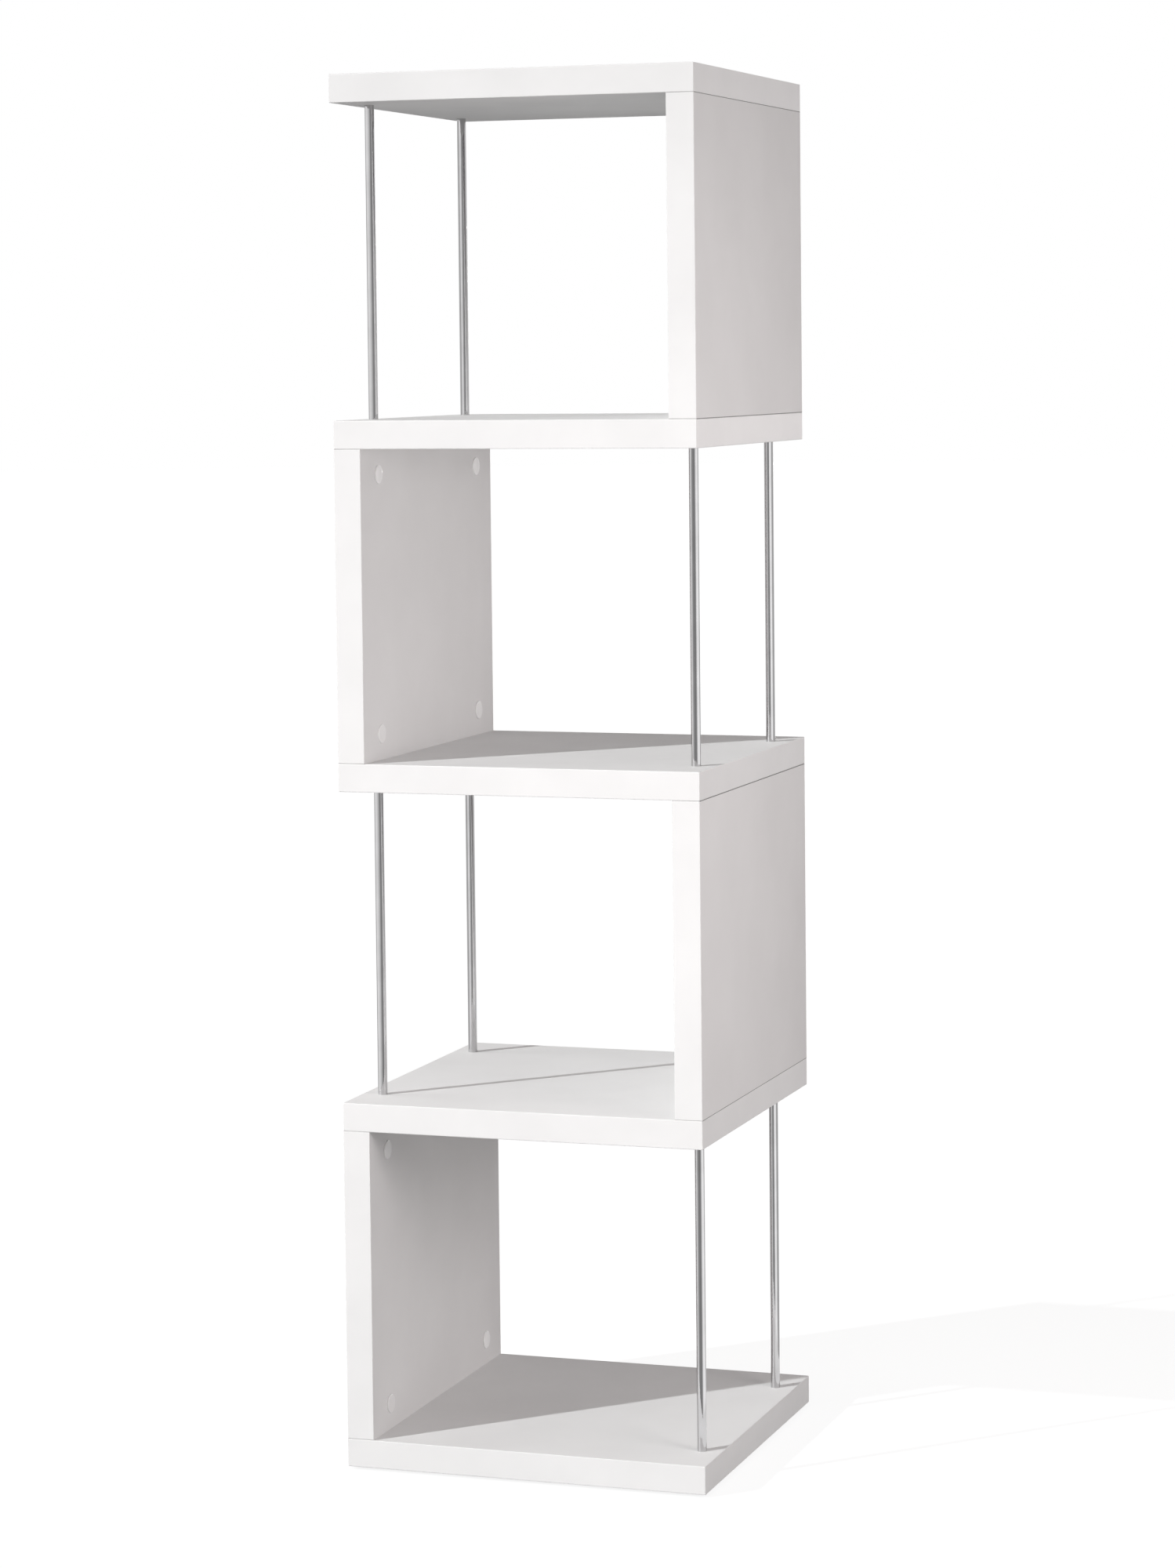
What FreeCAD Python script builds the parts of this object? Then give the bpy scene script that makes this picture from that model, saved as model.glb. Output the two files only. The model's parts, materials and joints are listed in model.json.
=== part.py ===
import FreeCAD, Part
import os
import re
import Sketcher

# Tower shelving unit: five square shelves, carried on each level by one side panel and, on the
# other side, by two chrome tubes. The panel changes sides from level to level.
# Origin at the middle of the floor area, X to the right, Y to the back, Z up, millimetres.

doc = FreeCAD.newDocument("tower_shelf")
sheet = doc.addObject("Spreadsheet::Sheet", "sizes")

SIZES = [
    ("unit_width", "400", "shelf from left to right"),
    ("unit_depth", "400", "shelf from front to back"),
    ("shelf_thickness", "30", "board of a shelf"),
    ("panel_thickness", "30", "board of a side panel"),
    ("panel_height", "332.5", "clear height of a level"),
    ("edging_thickness", "1", "strip glued round a board"),
    ("fit_gap", "0.1", "gap all round a piece in its bore"),
    ("end_gap", "0.2", "gap below a piece in its blind bore"),
    ("cut_overrun", "1", "how far a cut runs past the face it opens"),
    ("tube_diameter", "10", "outside of a chrome tube"),
    ("tube_wall", "1", "wall of a chrome tube"),
    ("tube_seat", "9", "depth of a tube in a shelf"),
    ("tube_from_side", "22", "tube axis from the side edge"),
    ("tube_from_front", "60", "tube axis from the front or back edge"),
    ("insert_length", "14", "threaded insert in the foot of a tube"),
    ("insert_bevel", "0.5", "bevel round the inner end of an insert"),
    ("stud_share", "0.625", "machine thread of a stud, as a share of the tube's bore"),
    ("stud_length", "12", "machine thread in the insert"),
    ("stud_bevel", "0.5", "bevel at the end of the machine thread"),
    ("stud_shoulder", "0.5", "wood thread of a stud beyond its machine thread, all round"),
    ("stud_screw_length", "15", "wood thread in the shelf"),
    ("stud_point_length", "4", "taper of the wood thread"),
    ("plug_length", "8", "plastic plug in the head of a tube"),
    ("plug_share", "0.375", "vent through a plug, as a share of the tube's bore"),
    ("cam_from_end", "28", "cam axis from the end of a panel"),
    ("cam_from_front", "50", "cam axis from the front or back edge"),
    ("cam_diameter", "15", "outside of a cam"),
    ("cam_length", "20", "cam along its axis"),
    ("cam_inset", "0.4", "cam face below the panel face"),
    ("cam_chamfer", "0.5", "bevel round the cam face"),
    ("cam_cavity_diameter", "10", "round hollow that holds the bolt head"),
    ("cam_offset", "1", "hollow's axis from the cam's axis"),
    ("cam_play", "0.3", "play of the bolt in the cam"),
    ("driver_width", "2", "arm of the cross recess"),
    ("driver_reach", "4.5", "arm of the cross recess from the axis"),
    ("driver_depth", "3.5", "cross recess below the cam face"),
    ("bolt_head_diameter", "6.6", "ball head of a cam bolt"),
    ("bolt_neck_diameter", "3.6", "neck under the ball head"),
    ("bolt_shank_diameter", "7", "shank in the end of the panel"),
    ("bolt_bore_diameter", "8", "bore for the shank"),
    ("bolt_shank_gap", "0.5", "end of the shank from the cam"),
    ("bolt_screw_diameter", "6", "wood thread in the shelf"),
    ("bolt_screw_length", "11", "wood thread in the shelf"),
    ("bolt_point_length", "2", "taper of the wood thread"),
    ("cap_diameter", "20", "cover cap over a cam"),
    ("cap_thickness", "1.6", "cover cap proud of the panel"),
    ("cap_bevel", "0.7", "bevel round the cover cap"),
    ("cap_stem_diameter", "4.4", "stem of a cap in its cam"),
    ("cap_stem_length", "4.8", "stem of a cap below the panel face"),
    ("dowel_diameter", "8", "beech dowel"),
    ("dowel_length", "30", "beech dowel, half in each board"),
    ("dowel_chamfer", "1", "bevel at the ends of a dowel"),
    ("dowel_from_cam", "32", "dowel axis from the cam bolt's axis"),
    ("glide_diameter", "22", "floor glide"),
    ("glide_height", "3", "floor glide under the base"),
    ("glide_bevel", "1", "bevel round the sole of a glide"),
    ("glide_from_edge", "30", "glide axis from both edges"),
    ("glide_pin_diameter", "2.4", "nail of a glide"),
    ("glide_pin_length", "13", "nail of a glide in the base"),
    ("glide_pin_point", "3", "taper of the nail"),
]
for row, (alias, size, note) in enumerate(SIZES, start=1):
    sheet.set(f"A{row}", alias)
    sheet.set(f"B{row}", size)
    sheet.set(f"C{row}", note)
    sheet.setAlias(f"B{row}", alias)
doc.recompute()

ALIASES = {alias for alias, size, note in SIZES}
LEFT, RIGHT = -1, 1
FRONT, BACK = -1, 1
SHELVES = ["base_shelf", "lower_shelf", "middle_shelf", "upper_shelf", "top_shelf"]
LEVELS = [("bottom", LEFT), ("lower", RIGHT), ("upper", LEFT), ("top", RIGHT)]

# Places that several pieces share, as formulas in the names of the sheet.
TUBE_X = "(unit_width / 2 - tube_from_side)"
TUBE_Y = "(unit_depth / 2 - tube_from_front)"
PANEL_X = "(unit_width / 2 - panel_thickness / 2)"
CAM_Y = "(unit_depth / 2 - cam_from_front)"
DOWEL_Y = f"({CAM_Y} - dowel_from_cam)"
GLIDE_X = "(unit_width / 2 - glide_from_edge)"
GLIDE_Y = "(unit_depth / 2 - glide_from_edge)"
TUBE_BORE = "(tube_diameter - 2 * tube_wall)"
STUD_THREAD = f"({TUBE_BORE} * stud_share)"
STUD_SCREW = f"({STUD_THREAD} + 2 * stud_shoulder)"
BOLT_BORE = "(bolt_screw_diameter + 2 * fit_gap)"
DOWEL_BORE = "(dowel_diameter + 2 * fit_gap)"

# Degrees of the cam's slot, from ahead of the locked bolt round to the mouth.
SLOT_TURN = 210
SLOT_LEAD = 30

parts = {}


# Formulas
def formula(text):
    """Names of the sheet, written plainly, as cells of the sheet."""
    return re.sub(r"[a-z]\w*", lambda word: "sizes." + word[0] if word[0] in ALIASES else word[0], text)


def value(text):
    return float(sheet.evalExpression(formula(text)))


def bind(thing, name, text):
    thing.setExpression(name, formula(text))


def signed(side, text):
    return text if side > 0 else f"-1 * {text}"


def shelf_bottom(index):
    return f"(glide_height + {index} * (shelf_thickness + panel_height))"


def level_floor(index):
    return f"({shelf_bottom(index)} + shelf_thickness)"


# Sketches
def new_sketch(body, name, role, height="0", turn=0):
    plane = next(item for item in body.Origin.OriginFeatures if item.Role == role)
    sketch = body.newObject("Sketcher::SketchObject", name)
    sketch.AttachmentSupport = [(plane, "")]
    sketch.MapMode = "FlatFace"
    rotation = FreeCAD.Rotation(FreeCAD.Vector(0, 1, 0), turn)
    sketch.AttachmentOffset = FreeCAD.Placement(FreeCAD.Vector(), rotation)
    bind(sketch, "AttachmentOffset.Base.z", height)
    return sketch


def pin(sketch, item, end, x, y):
    """Hold a point of the sketch at x, y from its origin."""
    for kind, axis, text in (("DistanceX", -2, x), ("DistanceY", -1, y)):
        if text == "0":
            sketch.addConstraint(Sketcher.Constraint("PointOnObject", item, end, axis))
        else:
            number = sketch.addConstraint(Sketcher.Constraint(kind, -1, 1, item, end, value(text)))
            bind(sketch, f"Constraints[{number}]", text)


def draw_circle(sketch, x, y, diameter):
    centre = FreeCAD.Vector(value(x), value(y), 0)
    item = sketch.addGeometry(Part.Circle(centre, FreeCAD.Vector(0, 0, 1), value(diameter) / 2), False)
    pin(sketch, item, 3, x, y)
    number = sketch.addConstraint(Sketcher.Constraint("Diameter", item, value(diameter)))
    bind(sketch, f"Constraints[{number}]", diameter)


def draw_outline(sketch, points):
    """Closed outline with straight sides through the points."""
    spots = [FreeCAD.Vector(value(x), value(y), 0) for x, y in points]
    count = len(points)
    items = [
        sketch.addGeometry(Part.LineSegment(spots[i], spots[(i + 1) % count]), False) for i in range(count)
    ]
    for i in range(count):
        sketch.addConstraint(Sketcher.Constraint("Coincident", items[i - 1], 2, items[i], 1))
        pin(sketch, items[i], 1, *points[i])


def draw_rectangle(sketch, left, right, low, high):
    draw_outline(sketch, [(left, low), (right, low), (right, high), (left, high)])


# Features
def new_body(name):
    body = doc.addObject("PartDesign::Body", name)
    body.Label = name
    return body


def pad(body, sketch, length, downward=False):
    feature = body.newObject("PartDesign::Pad", "pad")
    feature.Profile = sketch
    bind(feature, "Length", length)
    feature.Reversed = downward
    doc.recompute()
    return feature


def turned(body, name, points):
    """Solid of revolution about Z, from an outline of radius and height."""
    sketch = new_sketch(body, name, "XZ_Plane")
    draw_outline(sketch, points)
    feature = body.newObject("PartDesign::Revolution", "revolution")
    feature.Profile = sketch
    feature.ReferenceAxis = (sketch, ["V_Axis"])
    feature.Angle = 360
    doc.recompute()
    return feature


def check_cut(body, feature, before):
    """A cut that points away from the solid leaves its volume as it was."""
    doc.recompute()
    if not body.Shape.Volume < before:
        raise RuntimeError(f"{body.Label}: {feature.Name} cuts nothing")


def pocket(body, sketch, depth, upward=False):
    before = body.Shape.Volume
    feature = body.newObject("PartDesign::Pocket", "pocket")
    feature.Profile = sketch
    bind(feature, "Length", depth)
    feature.Reversed = upward
    check_cut(body, feature, before)
    return feature


def bores(body, name, height, spots, diameter, depth, upward=False, role="XY_Plane"):
    sketch = new_sketch(body, name, role, height)
    for x, y in spots:
        draw_circle(sketch, x, y, diameter)
    return pocket(body, sketch, depth, upward)


def group(name, members):
    """Separate solids that share one node."""
    compound = doc.addObject("Part::Compound", name)
    compound.Label = name
    compound.Links = members
    parts[name] = (compound, len(members))


def place(thing, x, y, z):
    bind(thing, ".Placement.Base.x", x)
    bind(thing, ".Placement.Base.y", y)
    bind(thing, ".Placement.Base.z", z)


def copy_of(body, name, x, y, z, rotation):
    link = doc.addObject("App::Link", name)
    link.LinkedObject = body
    link.Placement = FreeCAD.Placement(FreeCAD.Vector(), rotation)
    place(link, x, y, z)
    return link


def strip(name, size, corner):
    box = doc.addObject("Part::Box", name)
    for side, text in zip(("Length", "Width", "Height"), size):
        bind(box, side, text)
    place(box, *corner)
    return box


def pair(x, y):
    """The same place near the front edge and near the back edge."""
    return [(x, signed(FRONT, y)), (x, y)]


# Boards
def fitting_bores(body, level_side, face, upward):
    """Bores in one face of a shelf for the panel and the tubes of the level there."""
    bolts = pair(signed(level_side, PANEL_X), CAM_Y)
    dowels = pair(signed(level_side, PANEL_X), DOWEL_Y)
    tubes = pair(signed(-level_side, TUBE_X), TUBE_Y)
    bores(body, "bolt_bores", face, bolts, BOLT_BORE, "bolt_screw_length + end_gap", upward)
    bores(body, "dowel_bores", face, dowels, DOWEL_BORE, "dowel_length / 2 + end_gap", upward)
    bores(body, "tube_seats", face, tubes, "tube_diameter + 2 * fit_gap", "tube_seat", upward)
    if not upward:
        stud_bore = f"{STUD_SCREW} + 2 * fit_gap"
        bores(body, "stud_bores", face, tubes, stud_bore, "tube_seat + stud_screw_length + end_gap")


def make_shelf(index, name):
    body = new_body(name)
    sketch = new_sketch(body, "outline", "XY_Plane")
    half_width = "(unit_width / 2 - edging_thickness)"
    half_depth = "(unit_depth / 2 - edging_thickness)"
    draw_rectangle(sketch, signed(LEFT, half_width), half_width, signed(FRONT, half_depth), half_depth)
    pad(body, sketch, "shelf_thickness")
    if index < len(LEVELS):
        fitting_bores(body, LEVELS[index][1], "shelf_thickness", False)
    if index > 0:
        fitting_bores(body, LEVELS[index - 1][1], "0", True)
    if index == 0:
        spots = pair(GLIDE_X, GLIDE_Y) + pair(signed(LEFT, GLIDE_X), GLIDE_Y)
        nail = "glide_pin_diameter + 2 * fit_gap"
        bores(body, "nail_bores", "0", spots, nail, "glide_pin_length + end_gap", True)
    place(body, "0", "0", shelf_bottom(index))
    parts[name] = (body, 1)


def make_shelf_edging(index, name):
    """Front and back strips run the full width, side strips end between them."""
    z = shelf_bottom(index)
    left, front = "-1 * unit_width / 2", "-1 * unit_depth / 2"
    right, back = "unit_width / 2 - edging_thickness", "unit_depth / 2 - edging_thickness"
    long_size = ("unit_width", "edging_thickness", "shelf_thickness")
    side_size = ("edging_thickness", "unit_depth - 2 * edging_thickness", "shelf_thickness")
    side_y = f"{front} + edging_thickness"
    strips = [
        strip(f"{name}_front", long_size, (left, front, z)),
        strip(f"{name}_back", long_size, (left, back, z)),
        strip(f"{name}_left", side_size, (left, side_y, z)),
        strip(f"{name}_right", side_size, (right, side_y, z)),
    ]
    group(name, strips)


def make_panel(index, name, side):
    """Panel with its inner face towards +X, turned half round for the right side."""
    body = new_body(name)
    sketch = new_sketch(body, "outline", "XY_Plane")
    half_depth = "(unit_depth / 2 - edging_thickness)"
    half_thickness = "panel_thickness / 2"
    draw_rectangle(sketch, f"-1 * {half_thickness}", half_thickness, signed(FRONT, half_depth), half_depth)
    pad(body, sketch, "panel_height")
    cam_heights = ("cam_from_end", "panel_height - cam_from_end")
    cam_spots = [(y, z) for y in (signed(FRONT, CAM_Y), CAM_Y) for z in cam_heights]
    cam_bore = "cam_diameter + 2 * fit_gap"
    cam_depth = "cam_inset + cam_length + end_gap"
    bores(body, "cam_bores", half_thickness, cam_spots, cam_bore, cam_depth, role="YZ_Plane")
    for end, face, upward in (("lower", "0", True), ("upper", "panel_height", False)):
        bolts, dowels = pair("0", CAM_Y), pair("0", DOWEL_Y)
        bores(body, f"{end}_bolt_bores", face, bolts, "bolt_bore_diameter", "cam_from_end", upward)
        bores(body, f"{end}_dowel_bores", face, dowels, DOWEL_BORE, "dowel_length / 2 + end_gap", upward)
    turn = 0 if side == LEFT else 180
    body.Placement = FreeCAD.Placement(FreeCAD.Vector(), FreeCAD.Rotation(FreeCAD.Vector(0, 0, 1), turn))
    place(body, signed(side, PANEL_X), "0", level_floor(index))
    parts[name] = (body, 1)


def make_panel_edging(index, name, side):
    """One strip down the front of a panel and one down its back."""
    size = ("panel_thickness", "edging_thickness", "panel_height")
    x, z = f"{signed(side, PANEL_X)} - panel_thickness / 2", level_floor(index)
    strips = [
        strip(f"{name}_front", size, (x, "-1 * unit_depth / 2", z)),
        strip(f"{name}_back", size, (x, "unit_depth / 2 - edging_thickness", z)),
    ]
    group(name, strips)


# Tubes and their fittings
def make_tube(name, x, y, foot):
    body = new_body(name)
    sketch = new_sketch(body, "ring", "XY_Plane")
    draw_circle(sketch, "0", "0", "tube_diameter")
    draw_circle(sketch, "0", "0", TUBE_BORE)
    pad(body, sketch, "panel_height + 2 * tube_seat")
    place(body, x, y, foot)
    parts[name] = (body, 1)


def insert_master():
    """Threaded insert with its foot at Z 0 and a bevel at the end that goes in first."""
    body = new_body("insert_master")
    outer = f"({TUBE_BORE} / 2 - fit_gap)"
    inner = f"({STUD_THREAD} / 2 + fit_gap)"
    points = [(inner, "0"), (outer, "0"), (outer, "insert_length - insert_bevel")]
    points += [(f"{outer} - insert_bevel", "insert_length"), (inner, "insert_length")]
    turned(body, "section", points)
    return body


def stud_master():
    """Double-ended stud with its wood thread below Z 0 and its machine thread above."""
    body = new_body("stud_master")
    screw, thread = f"{STUD_SCREW} / 2", f"{STUD_THREAD} / 2"
    points = [("0", "-1 * stud_screw_length"), (screw, "stud_point_length - stud_screw_length"), (screw, "0")]
    points += [(thread, "0"), (thread, "stud_length - stud_bevel"), (f"{thread} - stud_bevel", "stud_length")]
    points += [("0", "stud_length")]
    turned(body, "section", points)
    return body


def plug_master():
    """Plastic plug that hangs below Z 0 in the head of a tube."""
    body = new_body("plug_master")
    sketch = new_sketch(body, "ring", "XY_Plane")
    draw_circle(sketch, "0", "0", f"{TUBE_BORE} - 2 * fit_gap")
    draw_circle(sketch, "0", "0", f"{TUBE_BORE} * plug_share")
    pad(body, sketch, "plug_length", True)
    return body


# Cam fittings
def cam_master():
    """Eccentric cam: face at the panel's face, axis Z, locked with the bolt towards +X.

    The round hollow sits off the cam's axis, so its wall comes nearer to the axis as the cam
    turns and draws the ball head in. The neck runs in a slot round the wall, and the head goes
    in through the round mouth at the far end of that slot.
    """
    body = new_body("cam_master")
    sketch = new_sketch(body, "round", "XY_Plane", "-1 * cam_inset")
    draw_circle(sketch, "0", "0", "cam_diameter")
    cylinder = pad(body, sketch, "cam_length", True)

    chamfer = body.newObject("PartDesign::Chamfer", "rim")
    rim = [
        f"Edge{number}"
        for number, edge in enumerate(cylinder.Shape.Edges, start=1)
        if len(edge.Vertexes) == 1 and abs(edge.CenterOfMass.z + value("cam_inset")) < value("fit_gap")
    ]
    chamfer.Base = (cylinder, rim)
    bind(chamfer, "Size", "cam_chamfer")
    doc.recompute()

    hollow_height = "(bolt_head_diameter + 2 * cam_play)"
    sketch = new_sketch(body, "hollow", "XY_Plane", f"{hollow_height} / 2 - panel_thickness / 2")
    draw_circle(sketch, "-1 * cam_offset", "0", "cam_cavity_diameter")
    pocket(body, sketch, hollow_height)

    half_slot = "(bolt_neck_diameter / 2 + cam_play)"
    sketch = new_sketch(body, "slot", "XZ_Plane", "0", -SLOT_LEAD)
    low, high = f"-1 * panel_thickness / 2 - {half_slot}", f"{half_slot} - panel_thickness / 2"
    draw_rectangle(sketch, "cam_offset", "cam_diameter / 2 + cut_overrun", low, high)
    before = body.Shape.Volume
    groove = body.newObject("PartDesign::Groove", "neck_slot")
    groove.Profile = sketch
    groove.ReferenceAxis = (sketch, ["V_Axis"])
    groove.Angle = SLOT_TURN
    check_cut(body, groove, before)

    sketch = new_sketch(body, "mouth", "YZ_Plane", "-1 * cam_diameter / 2 - cut_overrun")
    draw_circle(sketch, "0", "-1 * panel_thickness / 2", "bolt_head_diameter + cam_play")
    pocket(body, sketch, "cam_diameter / 2 + cut_overrun", True)

    sketch = new_sketch(body, "stem_bore", "XY_Plane", "0")
    draw_circle(sketch, "0", "0", "cap_stem_diameter + 2 * fit_gap")
    pocket(body, sketch, "cap_stem_length + end_gap")

    sketch = new_sketch(body, "driver_arm", "XY_Plane", "0")
    draw_rectangle(sketch, "0", "driver_reach", "-1 * driver_width / 2", "driver_width / 2")
    arm = pocket(body, sketch, "cam_inset + driver_depth")
    before = body.Shape.Volume
    cross = body.newObject("PartDesign::PolarPattern", "driver_cross")
    cross.Originals = [arm]
    cross.Axis = (sketch, ["N_Axis"])
    cross.Angle = 360
    cross.Occurrences = 4
    body.Tip = cross
    check_cut(body, cross, before)
    return body


def bolt_master():
    """Cam bolt with its shoulder on the shelf at Z 0 and its ball head up in the cam."""
    body = new_body("bolt_master")
    screw, shank, neck = "bolt_screw_diameter / 2", "bolt_shank_diameter / 2", "bolt_neck_diameter / 2"
    shank_top = "(cam_from_end - cam_diameter / 2 - bolt_shank_gap)"
    wall = "(cam_cavity_diameter / 2 - cam_offset)"
    head_centre = f"(cam_from_end - {wall} + bolt_head_diameter / 2 + fit_gap)"
    points = [("0", "-1 * bolt_screw_length"), (f"{screw} / 2", "-1 * bolt_screw_length")]
    points += [(screw, "bolt_point_length - bolt_screw_length"), (screw, "0"), (shank, "0")]
    points += [(shank, f"{shank_top} - {shank} + {neck}"), (neck, shank_top)]
    points += [(neck, head_centre), ("0", head_centre)]
    turned(body, "section", points)
    ball = body.newObject("PartDesign::AdditiveSphere", "ball_head")
    plane = next(item for item in body.Origin.OriginFeatures if item.Role == "XY_Plane")
    ball.AttachmentSupport = [(plane, "")]
    ball.MapMode = "FlatFace"
    bind(ball, "AttachmentOffset.Base.z", head_centre)
    bind(ball, "Radius", "bolt_head_diameter / 2")
    doc.recompute()
    return body


def cap_master():
    """Cover cap on the panel's face at Z 0, with its stem below."""
    body = new_body("cap_master")
    rim, stem = "cap_diameter / 2", "cap_stem_diameter / 2"
    points = [("0", "-1 * cap_stem_length"), (stem, "-1 * cap_stem_length"), (stem, "0"), (rim, "0")]
    points += [(rim, "cap_thickness - cap_bevel"), (f"{rim} - cap_bevel", "cap_thickness")]
    points += [("0", "cap_thickness")]
    turned(body, "section", points)
    return body


def dowel_master():
    """Dowel with the joint at its middle."""
    body = new_body("dowel_master")
    radius, half = "dowel_diameter / 2", "dowel_length / 2"
    points = [("0", f"-1 * {half}"), (f"{radius} - dowel_chamfer", f"-1 * {half}")]
    points += [(radius, f"dowel_chamfer - {half}"), (radius, f"{half} - dowel_chamfer")]
    points += [(f"{radius} - dowel_chamfer", half), ("0", half)]
    turned(body, "section", points)
    return body


def glide_master():
    """Nail-on glide with its sole at Z 0."""
    body = new_body("glide_master")
    rim, nail = "glide_diameter / 2", "glide_pin_diameter / 2"
    tip = "(glide_height + glide_pin_length)"
    points = [("0", "0"), (f"{rim} - glide_bevel", "0"), (rim, "glide_bevel"), (rim, "glide_height")]
    points += [(nail, "glide_height"), (nail, f"{tip} - glide_pin_point"), ("0", tip)]
    turned(body, "section", points)
    return body


def axes(x, z):
    """Rotation that carries a piece's own X and Z to the given directions."""
    return FreeCAD.Rotation(x, z.cross(x), z, "ZXY")


def make_level(index, level, side, masters):
    panel_x = signed(side, PANEL_X)
    inner_face = f"{panel_x} {'+' if side == LEFT else '-'} panel_thickness / 2"
    into_room = FreeCAD.Vector(-side, 0, 0)
    up = FreeCAD.Vector(0, 0, 1)
    floor = level_floor(index)
    ceiling = shelf_bottom(index + 1)
    upright = FreeCAD.Rotation()
    inverted = FreeCAD.Rotation(FreeCAD.Vector(1, 0, 0), 180)
    sets = {kind: [] for kind in ("cams", "cam_bolts", "cover_caps", "dowels")}
    for end, joint, cam_z, towards_end, turn in (
        ("lower", floor, f"{floor} + cam_from_end", -up, upright),
        ("upper", ceiling, f"{ceiling} - cam_from_end", up, inverted),
    ):
        for spot, front_or_back in (("front", FRONT), ("back", BACK)):
            cam_y = signed(front_or_back, CAM_Y)
            facing = axes(towards_end, into_room)
            tag = f"{level}_{end}_{spot}"
            dowel_y = signed(front_or_back, DOWEL_Y)
            for kind, master, x, y, z, rotation in (
                ("cams", "cam", inner_face, cam_y, cam_z, facing),
                ("cover_caps", "cap", inner_face, cam_y, cam_z, facing),
                ("cam_bolts", "bolt", panel_x, cam_y, joint, turn),
                ("dowels", "dowel", panel_x, dowel_y, joint, turn),
            ):
                sets[kind].append(copy_of(masters[master], f"{tag}_{master}", x, y, z, rotation))
    for kind, members in sets.items():
        group(f"{level}_{kind}", members)

    tube_x = signed(-side, TUBE_X)
    foot, head = f"{floor} - tube_seat", f"{ceiling} + tube_seat"
    fittings = {"insert": [], "stud": [], "plug": []}
    for spot, front_or_back in (("front", FRONT), ("back", BACK)):
        tube_y = signed(front_or_back, TUBE_Y)
        make_tube(f"{level}_{spot}_tube", tube_x, tube_y, foot)
        for kind, z in (("insert", foot), ("stud", foot), ("plug", head)):
            name = f"{level}_{spot}_{kind}"
            fittings[kind].append(copy_of(masters[kind], name, tube_x, tube_y, z, upright))
    for kind, members in fittings.items():
        group(f"{level}_tube_{kind}s", members)


def make_glides(master):
    places = [(x, y) for x in (LEFT, RIGHT) for y in (FRONT, BACK)]
    upright = FreeCAD.Rotation()
    copies = [
        copy_of(master, f"glide_{number}", signed(x, GLIDE_X), signed(y, GLIDE_Y), "0", upright)
        for number, (x, y) in enumerate(places, start=1)
    ]
    group("floor_glides", copies)


# The whole unit
for index, name in enumerate(SHELVES):
    make_shelf(index, name)
    make_shelf_edging(index, f"{name}_edging")
masters = {
    "cam": cam_master(),
    "bolt": bolt_master(),
    "cap": cap_master(),
    "dowel": dowel_master(),
    "insert": insert_master(),
    "stud": stud_master(),
    "plug": plug_master(),
}
for index, (level, side) in enumerate(LEVELS):
    make_panel(index, f"{level}_side_panel", side)
    make_panel_edging(index, f"{level}_panel_edging", side)
    make_level(index, level, side, masters)
make_glides(glide_master())
doc.recompute()

failed = [item.Name for item in doc.Objects if "Invalid" in item.State or "Error" in item.State]
if failed:
    raise RuntimeError(f"objects that failed: {failed}")
for name, (item, solids) in parts.items():
    if item.Shape.isNull() or not item.Shape.isValid() or len(item.Shape.Solids) != solids:
        raise RuntimeError(f"{name} is not {solids} whole solids")

os.makedirs("parts", exist_ok=True)
for name, (item, solids) in parts.items():
    item.Shape.exportStep(os.path.join("parts", f"{name}.step"))
print(f"{len(parts)} parts written")
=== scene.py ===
import json
import math
from collections import namedtuple

import bmesh
import bpy
from mathutils import Matrix, Vector

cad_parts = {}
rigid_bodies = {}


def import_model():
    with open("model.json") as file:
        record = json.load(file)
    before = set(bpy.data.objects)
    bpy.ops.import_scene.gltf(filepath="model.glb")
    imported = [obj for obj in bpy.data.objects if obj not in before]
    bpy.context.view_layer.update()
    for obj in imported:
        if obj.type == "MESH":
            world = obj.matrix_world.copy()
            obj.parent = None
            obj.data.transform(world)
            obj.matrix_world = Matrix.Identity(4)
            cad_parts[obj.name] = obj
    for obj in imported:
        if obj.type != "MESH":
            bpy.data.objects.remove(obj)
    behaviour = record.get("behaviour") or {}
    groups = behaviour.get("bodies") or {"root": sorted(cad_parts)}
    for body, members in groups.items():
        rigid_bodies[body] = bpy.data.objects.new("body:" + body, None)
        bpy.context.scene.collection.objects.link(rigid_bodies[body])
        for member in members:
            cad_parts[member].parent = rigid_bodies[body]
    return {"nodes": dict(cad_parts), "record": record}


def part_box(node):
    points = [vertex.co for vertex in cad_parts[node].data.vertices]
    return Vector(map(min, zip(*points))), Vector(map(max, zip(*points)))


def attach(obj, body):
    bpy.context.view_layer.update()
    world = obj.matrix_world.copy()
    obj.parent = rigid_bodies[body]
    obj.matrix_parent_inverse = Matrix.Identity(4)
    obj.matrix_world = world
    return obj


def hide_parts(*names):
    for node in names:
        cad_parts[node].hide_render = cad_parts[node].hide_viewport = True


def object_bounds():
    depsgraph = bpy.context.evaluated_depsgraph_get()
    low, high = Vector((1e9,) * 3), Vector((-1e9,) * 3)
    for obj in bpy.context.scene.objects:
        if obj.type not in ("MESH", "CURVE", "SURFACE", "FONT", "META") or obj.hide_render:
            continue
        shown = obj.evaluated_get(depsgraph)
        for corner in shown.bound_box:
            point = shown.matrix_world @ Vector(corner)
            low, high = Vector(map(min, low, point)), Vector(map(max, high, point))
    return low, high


# Tower shelving unit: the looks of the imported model, its studio and its camera. Metres.

for leftover in list(bpy.data.objects):
    bpy.data.objects.remove(leftover)
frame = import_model()
cad_low, cad_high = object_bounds()
nodes = frame["nodes"]

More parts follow.
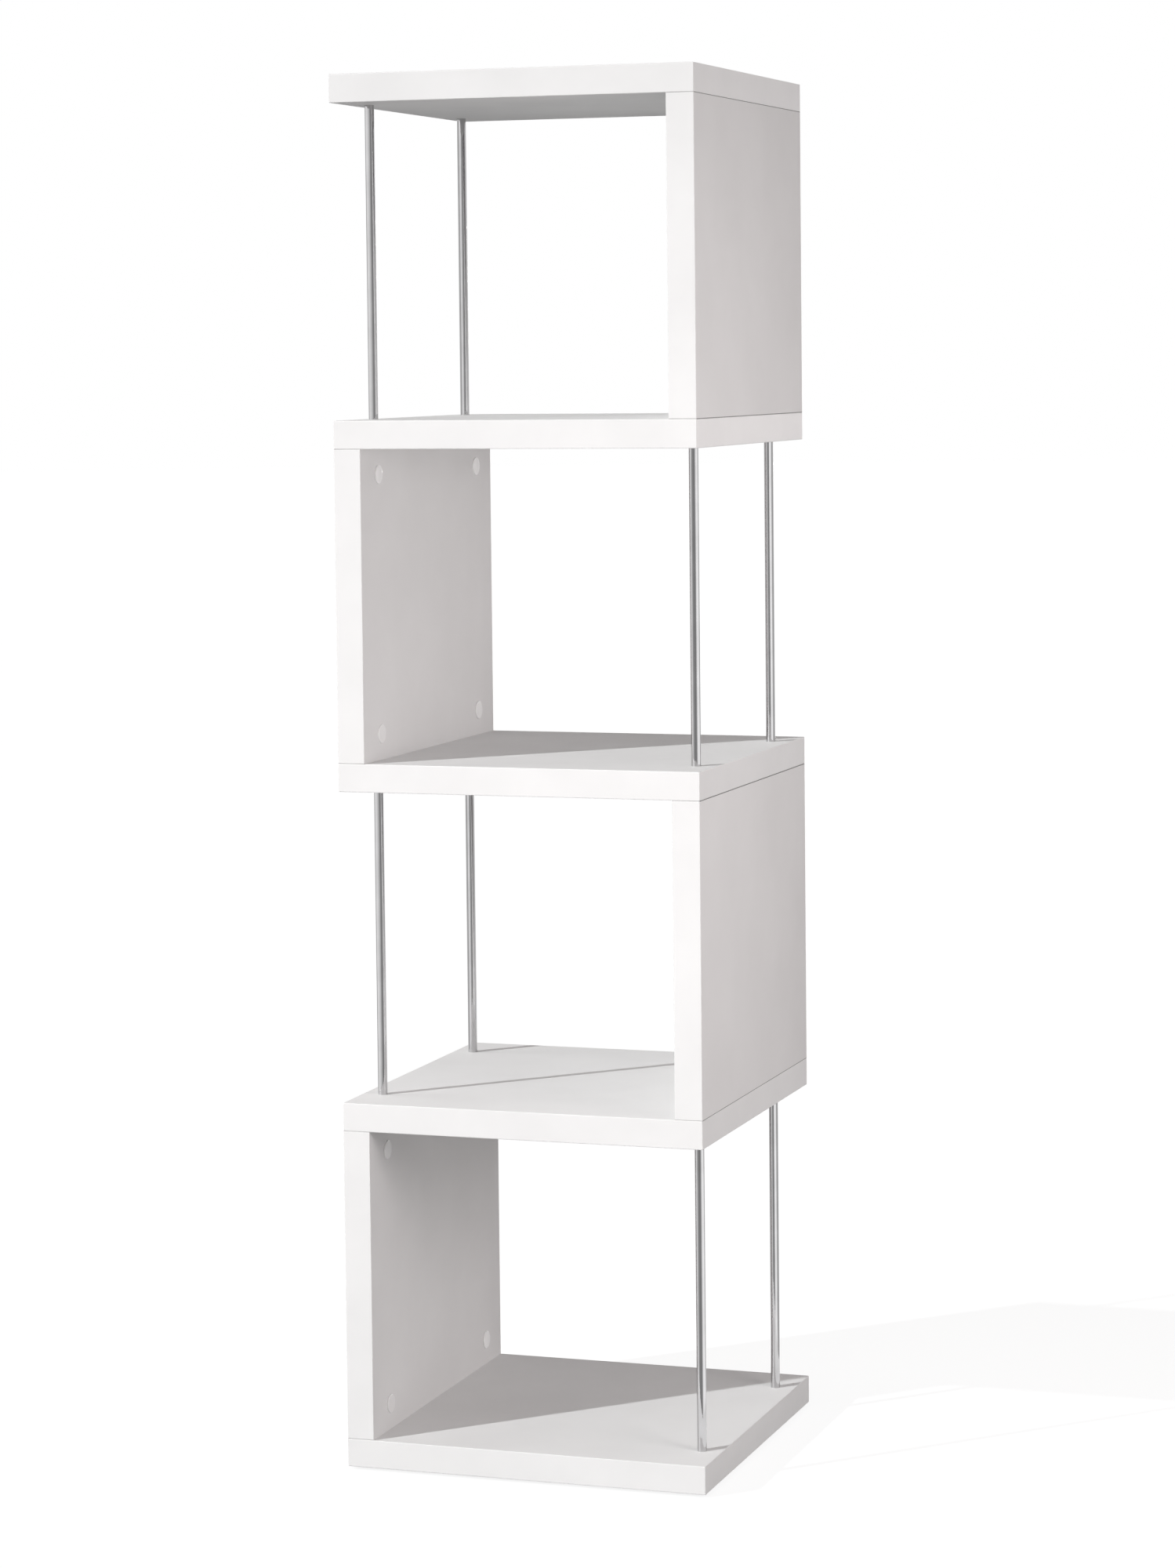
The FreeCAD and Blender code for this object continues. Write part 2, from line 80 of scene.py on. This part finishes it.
SHELVES = ["base_shelf", "lower_shelf", "middle_shelf", "upper_shelf", "top_shelf"]
LEVELS = ["bottom", "lower", "upper", "top"]
first_low, first_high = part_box("bottom_side_panel")
FIRST_PANEL_FOOT = first_low.z
PANEL_HEIGHT = first_high.z - first_low.z
LEVEL_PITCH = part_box("lower_side_panel")[0].z - FIRST_PANEL_FOOT

# Edging strips and panels with rounded outer edges.
EDGING = 0.001
ARRIS = 0.0007
ARRIS_STEPS = 3
ARRIS_PROFILE = 0.5
PANEL_ARRIS = 0.0004
PANEL_ARRIS_STEPS = 2
PANEL_ARRIS_ANGLE = 50.0
WELD_DISTANCE = 1e-5
# How near to the unit's outline a strip's corner counts as on it, and the least rise of an
# upright edge.
ON_FACE = 1e-6
LEAST_RISE = 1e-4

# Cover caps with a soft rim and a very shallow dish, whose rings are shares of its reach.
CAP_RADIUS = 0.010
CAP_SIDES = 64
CAP_RIM = 0.0007
CAP_RIM_STEPS = 6
CAP_DISH = 0.0002
CAP_DISH_REACH = 0.9
CAP_DISH_RINGS = (0.8, 0.6, 0.4, 0.2)

# Painted shade where a panel meets a shelf, for the shadow in that joint: how wide it is, how soft
# its border is, how dark it is on each face, and how far inside the unit's outline a point still
# counts as outer.
JOINT_SHADE_WIDTH = 0.0006
JOINT_SHADE_SOFTNESS = 0.3
SIDE_JOINT_SHADE = 0.75
FRONT_JOINT_SHADE = 0.30
OUTER_SKIN = 0.001

# Noise that a finish follows: waves to the metre, detail, and stretch along each axis. Its
# middle range is what gets carried to a colour or a roughness.
Pattern = namedtuple("Pattern", "scale detail stretch", defaults=(3.0, (1, 1, 1)))
NOISE_LOW = 0.3
NOISE_HIGH = 0.7

# Finishes: the two colours that the cloud blends, the roughness range that the polish covers,
# and the relief with its depth.
WHITE_BOARD = dict(
    colours=((0.800, 0.797, 0.795), (0.835, 0.833, 0.831)),
    cloud=Pattern(9.0),
    polish=Pattern(60.0),
    roughness=(0.54, 0.64),
    relief=Pattern(900.0, 2.0),
    depth=0.00002,
    specular=0.2,
)
WHITE_EDGING = dict(
    colours=((0.805, 0.803, 0.801), (0.840, 0.838, 0.836)),
    cloud=Pattern(14.0),
    polish=Pattern(90.0),
    roughness=(0.34, 0.42),
    relief=Pattern(1200.0, 2.0),
    depth=0.00001,
)
WHITE_CAP = dict(
    colours=((0.895, 0.893, 0.891), (0.915, 0.913, 0.911)),
    cloud=Pattern(120.0),
    polish=Pattern(400.0),
    roughness=(0.30, 0.38),
    relief=Pattern(2500.0, 1.0),
    depth=0.000008,
)
# Long soft waves and fine draw lines along the tube.
CHROME = dict(
    colours=((0.545, 0.540, 0.545), (0.605, 0.600, 0.607)),
    cloud=Pattern(40.0),
    polish=Pattern(300.0, 3.0, (1, 1, 0.1)),
    roughness=(0.02, 0.07),
    relief=Pattern(320.0, 3.0, (1, 1, 0.3)),
    depth=0.00005,
    metallic=1.0,
)
PLAIN_METAL = dict(
    cloud=Pattern(250.0),
    polish=Pattern(700.0),
    relief=Pattern(1500.0),
    depth=0.00003,
    metallic=1.0,
)
ZINC = dict(PLAIN_METAL, colours=((0.42, 0.43, 0.44), (0.52, 0.53, 0.54)), roughness=(0.34, 0.46))
STEEL = dict(PLAIN_METAL, colours=((0.55, 0.55, 0.56), (0.66, 0.66, 0.67)), roughness=(0.22, 0.34))
BRASS = dict(PLAIN_METAL, colours=((0.62, 0.45, 0.18), (0.74, 0.56, 0.26)), roughness=(0.20, 0.32))
GREY_PLASTIC = dict(
    colours=((0.14, 0.145, 0.15), (0.17, 0.175, 0.18)),
    cloud=Pattern(150.0),
    polish=Pattern(500.0),
    roughness=(0.42, 0.55),
    relief=Pattern(1800.0),
    depth=0.00002,
)
# Bare beech, whose grain runs along the dowel and gives both its colour and its relief.
BEECH_COLOURS = ((0.50, 0.30, 0.15), (0.66, 0.45, 0.26))
BEECH_GRAIN = Pattern(500.0, 4.0, (1, 1, 0.06))
BEECH_ROUGHNESS = 0.65
BEECH_DEPTH = 0.00008

# Camera, solved from the photo's edges: place, three angles, and focal length in photo pixels.
PHOTO_HEIGHT = 2000
FOCAL_PIXELS = 5270.12
CENTRE_ROW = 800.0
CAMERA_PLACE = Vector((1.44506, -4.23905, 1.18800))
CAMERA_YAW = -0.32586
CAMERA_PITCH = -0.06607
CAMERA_ROLL = -0.01037
SENSOR = 36.0

# Light, as levels at which a white surface that faces it renders white at 1. Azimuth 0 is the
# front and 90 the right side. The ambient light grows towards the way that it leans.
KEY_COLOUR = (0.98, 1.0, 1.0)
FILL_COLOUR = (1.0, 0.945, 0.94)
BACKDROP_COLOUR = (1.0, 1.0, 1.0)
AMBIENT = 0.26
AMBIENT_LEAN = (0.0, -0.50, 0.35)
# Distant lamps: name, level, azimuth, elevation, angle across and colour. Their distance only
# says where their symbol stands.
DISTANT_LAMPS = [
    ("key", 0.875, -43.3, 26.8, 1.0, KEY_COLOUR),
    ("back_light", 0.28, 180.0, 0.0, 5.0, FILL_COLOUR),
]
LAMP_DISTANCE = 5.0
# Soft boxes: name, level, azimuth, elevation, distance, width, height, height aimed at, and
# cone in degrees. A box with a narrow cone is several times as strong on its axis.
SOFT_BOXES = [
    ("front_box", 0.021, 0.0, 0.0, 3.0, 1.6, 1.5, 0.74, 40.0),
    ("side_box", 0.30, 64.0, 0.0, 1.7, 0.7, 0.6, 0.95, 180.0),
    ("strip_box", 0.016, 80.0, 0.0, 1.7, 0.7, 1.5, 0.74, 40.0),
    ("right_box", 0.050, 100.0, 0.0, 1.7, 0.7, 0.8, 0.60, 180.0),
    ("left_box", 0.014, -85.0, 40.0, 1.7, 0.5, 0.4, 0.45, 50.0),
]

# Floor: a matt disc just under the unit, whose own colour and glow together make it white.
FLOOR_COLOUR = (0.18, 0.18, 0.18)
FLOOR_GLOW = 0.88
FLOOR_ROUGHNESS = 0.9
FLOOR_RADIUS = 40.0
FLOOR_SIDES = 64
FLOOR_DROP = 0.0005

# Screen round the unit that only the chrome sees: azimuth and brightness at each stop.
SCREEN_STOPS = [
    (-180, 0.70), (-110, 0.70), (-96, 0.55), (-80, 0.60), (-70, 1.15), (-46, 1.10), (-29, 0.90),
    (-12, 0.65), (-2, 0.45), (8, 0.38), (26, 0.29), (38, 0.31), (48, 0.48), (57, 1.20),
    (90, 1.40), (100, 0.95), (112, 0.55), (128, 0.50), (142, 0.80), (180, 0.70),
]
SCREEN_RADIUS = 0.5
SCREEN_HEIGHT = 4.0
SCREEN_SIDES = 72


# Node trees
def new_material(name):
    material = bpy.data.materials.new(name)
    material.use_nodes = True
    tree = material.node_tree
    return material, tree, tree.nodes["Principled BSDF"]


def add(tree, kind, **settings):
    node = tree.nodes.new(kind)
    for key, setting in settings.items():
        setattr(node, key, setting)
    return node


def calculate(tree, operation, first, second, clamp=False):
    """A Math node; either side is a socket or a number."""
    node = add(tree, "ShaderNodeMath", operation=operation, use_clamp=clamp)
    for socket, value in zip(node.inputs, (first, second)):
        if isinstance(value, float):
            socket.default_value = value
        else:
            tree.links.new(value, socket)
    return node.outputs["Value"]


def own_place(tree):
    """X, Y and Z of the object's own place."""
    place = add(tree, "ShaderNodeTexCoord")
    axes = add(tree, "ShaderNodeSeparateXYZ")
    tree.links.new(place.outputs["Object"], axes.inputs["Vector"])
    return axes.outputs["X"], axes.outputs["Y"], axes.outputs["Z"]


def noise(tree, pattern):
    """Noise of the object's own place."""
    place = add(tree, "ShaderNodeTexCoord")
    mapping = add(tree, "ShaderNodeMapping")
    mapping.inputs["Scale"].default_value = pattern.stretch
    texture = add(tree, "ShaderNodeTexNoise")
    texture.inputs["Scale"].default_value = pattern.scale
    texture.inputs["Detail"].default_value = pattern.detail
    tree.links.new(place.outputs["Object"], mapping.inputs["Vector"])
    tree.links.new(mapping.outputs["Vector"], texture.inputs["Vector"])
    return texture.outputs["Fac"]


def remap(tree, source, low, high, first=NOISE_LOW, last=NOISE_HIGH):
    """The source's range from first to last carried to the range from low to high."""
    reach = add(tree, "ShaderNodeMapRange")
    reach.inputs["From Min"].default_value = first
    reach.inputs["From Max"].default_value = last
    reach.inputs["To Min"].default_value = low
    reach.inputs["To Max"].default_value = high
    tree.links.new(source, reach.inputs["Value"])
    return reach.outputs["Result"]


def blend_colours(tree, source, first, second):
    mix = add(tree, "ShaderNodeMix", data_type="RGBA")
    mix.inputs["A"].default_value = (*first, 1)
    mix.inputs["B"].default_value = (*second, 1)
    tree.links.new(source, mix.inputs["Factor"])
    return mix.outputs["Result"]


def darken(tree, colour, share):
    mix = add(tree, "ShaderNodeMix", data_type="RGBA")
    mix.inputs["B"].default_value = (0, 0, 0, 1)
    tree.links.new(colour, mix.inputs["A"])
    tree.links.new(share, mix.inputs["Factor"])
    return mix.outputs["Result"]


def bump(tree, shader, height, distance):
    node = add(tree, "ShaderNodeBump")
    node.inputs["Strength"].default_value = 1.0
    node.inputs["Distance"].default_value = distance
    tree.links.new(height, node.inputs["Height"])
    tree.links.new(node.outputs["Normal"], shader.inputs["Normal"])


def joint_shade(tree, darkness):
    """Painted joint shade on a panel's outer faces, close to its two ends; 0 elsewhere."""
    x, y, z = own_place(tree)
    rise = calculate(tree, "SUBTRACT", z, FIRST_PANEL_FOOT)
    rise = calculate(tree, "MODULO", rise, LEVEL_PITCH)
    drop = calculate(tree, "SUBTRACT", PANEL_HEIGHT, rise)
    nearest = calculate(tree, "MINIMUM", rise, drop)
    full = JOINT_SHADE_WIDTH * (1 - JOINT_SHADE_SOFTNESS)
    none = JOINT_SHADE_WIDTH * (1 + JOINT_SHADE_SOFTNESS)
    close = remap(tree, nearest, darkness, 0.0, full, none)
    across = calculate(tree, "ABSOLUTE", x, 0.0)
    along = calculate(tree, "ABSOLUTE", y, 0.0)
    farthest = calculate(tree, "MAXIMUM", across, along)
    outer = calculate(tree, "GREATER_THAN", farthest, cad_high.x - OUTER_SKIN)
    return calculate(tree, "MULTIPLY", close, outer)


# Materials
def make_finish(
    name, colours, cloud, polish, roughness, relief, depth, metallic=0.0, specular=0.5, joint=0.0
):
    """One of the finishes; joint is how dark the painted shade in a joint is, if it has one."""
    material, tree, shader = new_material(name)
    shader.inputs["Metallic"].default_value = metallic
    shader.inputs["Specular IOR Level"].default_value = specular
    colour = blend_colours(tree, remap(tree, noise(tree, cloud), 0.0, 1.0), *colours)
    # Painted shade in the joints darkens the colour.
    if joint:
        colour = darken(tree, colour, joint_shade(tree, joint))
    tree.links.new(colour, shader.inputs["Base Color"])
    rough = remap(tree, noise(tree, polish), *roughness)
    tree.links.new(rough, shader.inputs["Roughness"])
    bump(tree, shader, noise(tree, relief), depth)
    return material


def make_beech(name):
    material, tree, shader = new_material(name)
    grain = remap(tree, noise(tree, BEECH_GRAIN), 0.0, 1.0)
    colour = blend_colours(tree, grain, *BEECH_COLOURS)
    tree.links.new(colour, shader.inputs["Base Color"])
    shader.inputs["Roughness"].default_value = BEECH_ROUGHNESS
    bump(tree, shader, grain, BEECH_DEPTH)
    return material


MATERIALS = {
    "white_board": make_finish("white_board_foil", **WHITE_BOARD),
    "white_edging": make_finish("white_edging_strip", **WHITE_EDGING),
    "white_cap": make_finish("white_moulded_cap", **WHITE_CAP),
    "chrome_tube": make_finish("bright_chrome", **CHROME),
    "zinc": make_finish("die_cast_zinc", **ZINC),
    "steel": make_finish("zinc_plated_steel", **STEEL),
    "brass": make_finish("turned_brass", **BRASS),
    "beech": make_beech("bare_beech"),
    "grey_plastic": make_finish("grey_moulded_plastic", **GREY_PLASTIC),
}
# Panel foil and edging with painted shade along their joints with the shelves.
SHADED_PANEL_BOARD = make_finish("white_panel_foil_painted_shade", joint=SIDE_JOINT_SHADE, **WHITE_BOARD)
SHADED_PANEL_EDGING = make_finish("white_panel_edging_painted_shade", joint=FRONT_JOINT_SHADE, **WHITE_EDGING)
for subpart in frame["record"]["subparts"]:
    finish = MATERIALS[subpart["material_slot"]]
    if subpart["node"].endswith("_side_panel"):
        finish = SHADED_PANEL_BOARD
    for holder in nodes[subpart["node"]].material_slots:
        holder.material = finish


# Objects
def place_object(name, data):
    made = bpy.data.objects.new(name, data)
    bpy.context.scene.collection.objects.link(made)
    return made


def place_mesh(name, bm, material):
    mesh = bpy.data.meshes.new(name)
    bm.to_mesh(mesh)
    bm.free()
    mesh.materials.append(material)
    return place_object(name, mesh)


def finish_piece(bm, node, slot, material=None):
    """A piece that stands for a CAD node."""
    piece = place_mesh(f"{node}_dressed", bm, material or MATERIALS[slot])
    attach(piece, "root")
    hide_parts(node)
    return piece


# Edging strips
def add_strip(bm, low, high, rounded):
    """One edging strip, with the edges that the test picks rounded to the arris."""
    size = high - low
    place = Matrix.Translation((low + high) / 2) @ Matrix.Diagonal((*size, 1))
    made = bmesh.ops.create_cube(bm, size=1.0, matrix=place)
    edges = {edge for vertex in made["verts"] for edge in vertex.link_edges}
    picked = [edge for edge in edges if rounded(edge)]
    bmesh.ops.bevel(
        bm,
        geom=picked,
        offset=ARRIS,
        segments=ARRIS_STEPS,
        profile=ARRIS_PROFILE,
        affect="EDGES",
    )


def is_vertical(edge):
    return abs(edge.verts[0].co.z - edge.verts[1].co.z) > LEAST_RISE


def on_side(point):
    return abs(abs(point.x) - cad_high.x) < ON_FACE


def on_front_or_back(point):
    return abs(abs(point.y) - cad_high.y) < ON_FACE


def shelf_arris(edge):
    """Edges round the top and the bottom of a shelf, and its four upright corners."""
    ends = [vertex.co for vertex in edge.verts]
    if is_vertical(edge):
        return all(on_side(end) and on_front_or_back(end) for end in ends)
    return all(on_side(end) or on_front_or_back(end) for end in ends)


def panel_arris(edge):
    """Edges round the outer face of a panel's strip."""
    return all(on_front_or_back(vertex.co) for vertex in edge.verts)


def front_and_back(low, high):
    """Strips of a panel, or the front and back strips of a shelf."""
    front = (low, Vector((high.x, low.y + EDGING, high.z)))
    back = (Vector((low.x, high.y - EDGING, low.z)), high)
    return [front, back]


def left_and_right(low, high):
    """Side strips of a shelf, which end between the front strip and the back strip."""
    inner_low = low + Vector((0, EDGING, 0))
    inner_high = high - Vector((0, EDGING, 0))
    left = (inner_low, Vector((low.x + EDGING, inner_high.y, high.z)))
    right = (Vector((high.x - EDGING, inner_low.y, low.z)), inner_high)
    return [left, right]


def dress_shelf_edging(node):
    low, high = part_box(node)
    bm = bmesh.new()
    for strip in front_and_back(low, high) + left_and_right(low, high):
        add_strip(bm, *strip, shelf_arris)
    finish_piece(bm, node, "white_edging")


def dress_panel_edging(node):
    bm = bmesh.new()
    for strip in front_and_back(*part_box(node)):
        add_strip(bm, *strip, panel_arris)
    # The panel's strips carry painted shade at their joints with the shelves.
    finish_piece(bm, node, "white_edging", SHADED_PANEL_EDGING)


# Cover caps
def cap_profile(thickness):
    """Distance from the axis and height of each ring, from the seat to the middle."""
    profile = [(CAP_RADIUS, 0.0)]
    for step in range(CAP_RIM_STEPS + 1):
        angle = math.pi / 2 * step / CAP_RIM_STEPS
        out = CAP_RADIUS - CAP_RIM + CAP_RIM * math.cos(angle)
        profile.append((out, thickness - CAP_RIM + CAP_RIM * math.sin(angle)))
    for share in CAP_DISH_RINGS:
        dip = CAP_DISH * (1 - share * share)
        profile.append((CAP_RADIUS * share * CAP_DISH_REACH, thickness - dip))
    return profile


def add_cap(bm, centre, inward, thickness):
    rings = []
    for out, height in cap_profile(thickness):
        ring = []
        for side in range(CAP_SIDES):
            turn = 2 * math.pi * side / CAP_SIDES
            offset = Vector((inward * height, out * math.cos(turn), out * math.sin(turn)))
            ring.append(bm.verts.new(centre + offset))
        rings.append(ring)
    for outer, inner in zip(rings, rings[1:]):
        for side in range(CAP_SIDES):
            follow = (side + 1) % CAP_SIDES
            bm.faces.new((outer[side], outer[follow], inner[follow], inner[side]))
    bm.faces.new(rings[-1])
    bm.faces.new(list(reversed(rings[0])))
    bmesh.ops.recalc_face_normals(bm, faces=bm.faces)


def dress_caps(level):
    """A cap at each of the four corners of the node's box, on the panel's inner face."""
    node = f"{level}_cover_caps"
    low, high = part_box(node)
    board_low, board_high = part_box(f"{level}_side_panel")
    inward = 1 if low.x < 0 else -1
    seat, face = (board_high.x, high.x) if inward > 0 else (board_low.x, low.x)
    bm = bmesh.new()
    for y in (low.y + CAP_RADIUS, high.y - CAP_RADIUS):
        for z in (low.z + CAP_RADIUS, high.z - CAP_RADIUS):
            add_cap(bm, Vector((seat, y, z)), inward, abs(face - seat))
    piece = finish_piece(bm, node, "white_cap")
    for polygon in piece.data.polygons:
        polygon.use_smooth = True


# Panels
def soften_panel(node):
    """A small arris on the panel's own edges, a fine groove where the panel meets a shelf."""
    weld = nodes[node].modifiers.new("weld", "WELD")
    weld.merge_threshold = WELD_DISTANCE
    bevel = nodes[node].modifiers.new("arris", "BEVEL")
    bevel.width = PANEL_ARRIS
    bevel.segments = PANEL_ARRIS_STEPS
    bevel.limit_method = "ANGLE"
    bevel.angle_limit = math.radians(PANEL_ARRIS_ANGLE)


for shelf in SHELVES:
    dress_shelf_edging(f"{shelf}_edging")
for level in LEVELS:
    dress_panel_edging(f"{level}_panel_edging")
    soften_panel(f"{level}_side_panel")
    dress_caps(level)


# Studio
def direction(azimuth, elevation):
    """Away from the object: azimuth 0 is the front, 90 the right side."""
    a, e = math.radians(azimuth), math.radians(elevation)
    return Vector((math.sin(a) * math.cos(e), -math.cos(a) * math.cos(e), math.sin(e)))


def add_lamp(name, kind, azimuth, elevation, distance, aim):
    """Lamp that looks at the unit's axis at the given height."""
    data = bpy.data.lights.new(name, kind)
    lamp = place_object(name, data)
    outward = direction(azimuth, elevation)
    lamp.location = Vector((0, 0, aim)) + distance * outward
    lamp.rotation_mode = "QUATERNION"
    lamp.rotation_quaternion = outward.to_track_quat("Z", "Y")
    return data


def build_lights():
    for name, level, azimuth, elevation, angle, colour in DISTANT_LAMPS:
        sun = add_lamp(name, "SUN", azimuth, elevation, LAMP_DISTANCE, cad_high.z / 2)
        sun.energy = level * math.pi
        sun.angle = math.radians(angle)
        sun.color = colour
    for name, level, azimuth, elevation, distance, width, height, aim, cone in SOFT_BOXES:
        box = add_lamp(name, "AREA", azimuth, elevation, distance, aim)
        box.shape = "RECTANGLE"
        box.size = width
        box.size_y = height
        box.spread = math.radians(cone)
        box.energy = level * math.pi**2 * distance**2
        box.color = FILL_COLOUR


def seen_as_white(tree):
    """1 for what the camera sees directly, in metal or through glass."""
    path = add(tree, "ShaderNodeLightPath")
    direct = calculate(tree, "ADD", path.outputs["Is Camera Ray"], path.outputs["Is Glossy Ray"])
    return calculate(tree, "ADD", direct, path.outputs["Is Transmission Ray"], clamp=True)


def build_world():
    """Light from all round that leans to one side, and a white backdrop."""
    world = bpy.data.worlds.new("studio")
    bpy.context.scene.world = world
    world.use_nodes = True
    tree = world.node_tree
    tree.nodes.clear()
    white = seen_as_white(tree)
    colour = blend_colours(tree, white, FILL_COLOUR, BACKDROP_COLOUR)
    place = add(tree, "ShaderNodeTexCoord")
    lean = add(tree, "ShaderNodeVectorMath", operation="DOT_PRODUCT")
    lean.inputs[1].default_value = AMBIENT_LEAN
    tree.links.new(place.outputs["Generated"], lean.inputs[0])
    ambient = remap(tree, lean.outputs["Value"], 0.0, 2 * AMBIENT, -1.0, 1.0)
    hidden = calculate(tree, "MULTIPLY", ambient, calculate(tree, "SUBTRACT", 1.0, white))
    level = calculate(tree, "ADD", hidden, white)
    background = add(tree, "ShaderNodeBackground")
    tree.links.new(colour, background.inputs["Color"])
    tree.links.new(level, background.inputs["Strength"])
    output = add(tree, "ShaderNodeOutputWorld")
    tree.links.new(background.outputs["Background"], output.inputs["Surface"])


def build_floor():
    """Pale floor that keeps a faint shadow of the unit."""
    material, tree, shader = new_material("pale_floor")
    shader.inputs["Base Color"].default_value = (*FLOOR_COLOUR, 1)
    shader.inputs["Roughness"].default_value = FLOOR_ROUGHNESS
    shader.inputs["Specular IOR Level"].default_value = 0.0
    glow = add(tree, "ShaderNodeEmission")
    strength = calculate(tree, "MULTIPLY", seen_as_white(tree), FLOOR_GLOW)
    tree.links.new(strength, glow.inputs["Strength"])
    total = add(tree, "ShaderNodeAddShader")
    tree.links.new(shader.outputs["BSDF"], total.inputs[0])
    tree.links.new(glow.outputs["Emission"], total.inputs[1])
    tree.links.new(total.outputs["Shader"], tree.nodes["Material Output"].inputs["Surface"])
    bm = bmesh.new()
    bmesh.ops.create_circle(bm, cap_ends=True, radius=FLOOR_RADIUS, segments=FLOOR_SIDES)
    floor = place_mesh("floor", bm, material)
    floor.location.z = -FLOOR_DROP


def screen_glow(tree):
    """Brightness of the screen by the azimuth of its own points."""
    x, y, _ = own_place(tree)
    front = calculate(tree, "MULTIPLY", y, -1.0)
    azimuth = calculate(tree, "ARCTAN2", x, front)
    ramp = add(tree, "ShaderNodeValToRGB")
    stops = ramp.color_ramp.elements
    while len(stops) < len(SCREEN_STOPS):
        stops.new(0.5)
    for stop, (turn, brightness) in zip(stops, SCREEN_STOPS):
        stop.position = (turn + 180) / 360
        stop.color = (brightness, brightness, brightness, 1)
    share = remap(tree, azimuth, 0.0, 1.0, -math.pi, math.pi)
    tree.links.new(share, ramp.inputs["Fac"])
    return ramp.outputs["Color"]


def build_screen():
    material, tree, shader = new_material("studio_screen")
    glow = add(tree, "ShaderNodeEmission")
    tree.links.new(screen_glow(tree), glow.inputs["Color"])
    tree.links.new(glow.outputs["Emission"], tree.nodes["Material Output"].inputs["Surface"])
    bm = bmesh.new()
    pairs = []
    for side in range(SCREEN_SIDES):
        spot = SCREEN_RADIUS * direction(360 * side / SCREEN_SIDES, 0)
        pairs.append((bm.verts.new(spot), bm.verts.new(spot + Vector((0, 0, SCREEN_HEIGHT)))))
    for side, first in enumerate(pairs):
        second = pairs[(side + 1) % SCREEN_SIDES]
        bm.faces.new((first[0], second[0], second[1], first[1]))
    screen = place_mesh("studio_screen", bm, material)
    screen.visible_camera = False
    screen.visible_diffuse = False
    screen.visible_shadow = False
    screen.visible_transmission = False


def build_camera():
    yaw, pitch, roll = CAMERA_YAW, CAMERA_PITCH, CAMERA_ROLL
    level_ahead = Vector((math.sin(yaw), math.cos(yaw), 0))
    level_right = Vector((math.cos(yaw), -math.sin(yaw), 0))
    up = Vector((0, 0, 1))
    ahead = level_ahead * math.cos(pitch) + up * math.sin(pitch)
    above = up * math.cos(pitch) - level_ahead * math.sin(pitch)
    across = level_right * math.cos(roll) + above * math.sin(roll)
    above = above * math.cos(roll) - level_right * math.sin(roll)
    data = bpy.data.cameras.new("camera")
    data.sensor_width = SENSOR
    data.lens = SENSOR * FOCAL_PIXELS / PHOTO_HEIGHT
    data.shift_y = (CENTRE_ROW - PHOTO_HEIGHT / 2) / PHOTO_HEIGHT
    camera = place_object("camera", data)
    turn = Matrix((across, above, -ahead)).transposed().to_4x4()
    camera.matrix_world = Matrix.Translation(CAMERA_PLACE) @ turn
    bpy.context.scene.camera = camera


build_world()
build_lights()
build_floor()
build_screen()
build_camera()
bpy.context.scene.view_settings.view_transform = "Standard"
